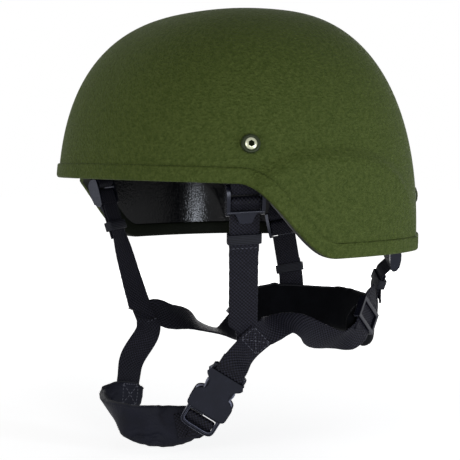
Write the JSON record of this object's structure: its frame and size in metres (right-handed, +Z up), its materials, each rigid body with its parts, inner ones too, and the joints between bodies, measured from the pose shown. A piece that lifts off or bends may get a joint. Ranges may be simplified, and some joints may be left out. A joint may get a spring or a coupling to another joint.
{
  "type": "combat helmet",
  "caption": "Mid-cut ballistic combat helmet with rolled edge band, bolted webbing harness, nape pad, side-release buckle, chin cup and foam comfort pads.",
  "frame": {"origin": "head_seat: the middle of the wearer's head, in the plane of the brow rim's lowest ear-to-ear line raised to the brow, on the plane of symmetry of the shell", "axes": "+Z up, -Y forward out of the wearer's face, +X to the wearer's left"},
  "size_m": [0.2548, 0.2675, 0.3112],
  "materials": {
    "shell_composite": "olive paint with a fine sprayed grain",
    "edge_rubber": "moulded rubber, painted with the shell",
    "washer_paint": "dark green paint",
    "bolt_steel": "worn, shiny paint",
    "nut_steel": "blackened",
    "hook_tape": "hook tape",
    "pad_fabric": "brushed cover over foam",
    "nape_fabric": "brushed cover over foam",
    "cup_fabric": "knitted band",
    "strap_webbing": "woven webbing",
    "keeper_elastic": "ribbed elastic",
    "hardware_plastic": "satin moulded"
  },
  "bodies": {
    "helmet": {"shell": "shell_composite", "edge_trim": "edge_rubber", "bolt_washers": "washer_paint", "strap_bolts": "bolt_steel", "bolt_nuts": "nut_steel", "anchor_eyelets": "nut_steel", "hook_discs": "hook_tape", "crown_pad": "pad_fabric", "front_pad": "pad_fabric", "rear_pad": "pad_fabric", "left_front_pad": "pad_fabric", "right_front_pad": "pad_fabric", "left_rear_pad": "pad_fabric", "right_rear_pad": "pad_fabric", "front_left_anchor": "strap_webbing", "front_right_anchor": "strap_webbing", "rear_left_anchor": "strap_webbing", "rear_right_anchor": "strap_webbing", "front_left_strap": "strap_webbing", "front_right_strap": "strap_webbing", "rear_left_strap": "strap_webbing", "rear_right_strap": "strap_webbing", "nape_pad": "nape_fabric", "nape_left_strap": "strap_webbing", "nape_right_strap": "strap_webbing", "right_chin_strap": "strap_webbing", "buckle_strap": "strap_webbing", "chin_strap": "strap_webbing", "chin_cup": "cup_fabric", "buckle_socket": "hardware_plastic"},
    "front_left_adjuster": {"front_left_adjuster": "hardware_plastic", "front_left_wrap": "strap_webbing"},
    "front_left_keeper": {"front_left_keeper": "keeper_elastic"},
    "rear_left_adjuster": {"rear_left_adjuster": "hardware_plastic", "rear_left_wrap": "strap_webbing"},
    "rear_left_keeper": {"rear_left_keeper": "keeper_elastic"},
    "nape_left_slider": {"nape_left_slider": "hardware_plastic"},
    "front_right_adjuster": {"front_right_adjuster": "hardware_plastic", "front_right_wrap": "strap_webbing"},
    "front_right_keeper": {"front_right_keeper": "keeper_elastic"},
    "rear_right_adjuster": {"rear_right_adjuster": "hardware_plastic", "rear_right_wrap": "strap_webbing"},
    "rear_right_keeper": {"rear_right_keeper": "keeper_elastic"},
    "nape_right_slider": {"nape_right_slider": "hardware_plastic"},
    "buckle_plug": {"buckle_plug": "hardware_plastic", "plug_wrap": "strap_webbing"},
    "buckle_front_arm": {"buckle_front_arm": "hardware_plastic"},
    "buckle_rear_arm": {"buckle_rear_arm": "hardware_plastic"}
  },
  "joints": [
    {"name": "front_left_tilt", "type": "hinge", "parent": "helmet", "child": "front_left_adjuster", "pos_m": [0.08922, -0.06809, 0.001], "axis": [-0.4647, -0.8843, -0.0453], "range_deg": [0, 25]},
    {"name": "front_right_tilt", "type": "hinge", "parent": "helmet", "child": "front_right_adjuster", "pos_m": [-0.08922, -0.06809, 0.001], "axis": [-0.4647, 0.8843, 0.0453], "range_deg": [0, 25]},
    {"name": "rear_left_tilt", "type": "hinge", "parent": "helmet", "child": "rear_left_adjuster", "pos_m": [0.06398, 0.09256, -0.044], "axis": [0.8011, -0.5094, -0.3144], "range_deg": [0, 12]},
    {"name": "rear_right_tilt", "type": "hinge", "parent": "helmet", "child": "rear_right_adjuster", "pos_m": [-0.06212, 0.09003, -0.028], "axis": [0.82, 0.5361, 0.2004], "range_deg": [0, 8]},
    {"name": "front_left_keeper_slide", "type": "slide", "parent": "helmet", "child": "front_left_keeper", "axis": [0.249, -0.1796, 0.9517], "range_m": [-0.005, 0.006]},
    {"name": "front_right_keeper_slide", "type": "slide", "parent": "helmet", "child": "front_right_keeper", "axis": [-0.249, -0.1796, 0.9517], "range_m": [-0.005, 0.006]},
    {"name": "rear_left_keeper_slide", "type": "slide", "parent": "helmet", "child": "rear_left_keeper", "axis": [0.3929, 0.0511, 0.9182], "range_m": [-0.0015, 0.0015]},
    {"name": "rear_right_keeper_slide", "type": "slide", "parent": "helmet", "child": "rear_right_keeper", "axis": [-0.224, -0.0215, 0.9743], "range_m": [-0.0015, 0.0015]},
    {"name": "nape_left_slide", "type": "slide", "parent": "helmet", "child": "nape_left_slider", "axis": [-0.2357, 0.6128, 0.7542], "range_m": [-0.0015, 0.0015]},
    {"name": "nape_right_slide", "type": "slide", "parent": "helmet", "child": "nape_right_slider", "axis": [0.2357, 0.6128, 0.7542], "range_m": [-0.0015, 0.0015]},
    {"name": "buckle_release", "type": "slide", "parent": "helmet", "child": "buckle_plug", "axis": [-0.4274, -0.3184, -0.8462], "range_m": [0, 0.023]},
    {"name": "front_arm_flex", "type": "hinge", "parent": "buckle_plug", "child": "buckle_front_arm", "pos_m": [0.0433, -0.07451, -0.14705], "axis": [0.7179, -0.6884, -0.1036], "range_deg": [-15, 0]},
    {"name": "rear_arm_flex", "type": "hinge", "parent": "buckle_plug", "child": "buckle_rear_arm", "pos_m": [0.05275, -0.0633, -0.15604], "axis": [0.7179, -0.6884, -0.1036], "range_deg": [0, 15]}
  ],
  "couplings": [
    {"joint": "front_arm_flex", "follows": "buckle_release", "rad_per_m": -11.2},
    {"joint": "rear_arm_flex", "follows": "buckle_release", "rad_per_m": 11.2}
  ]
}
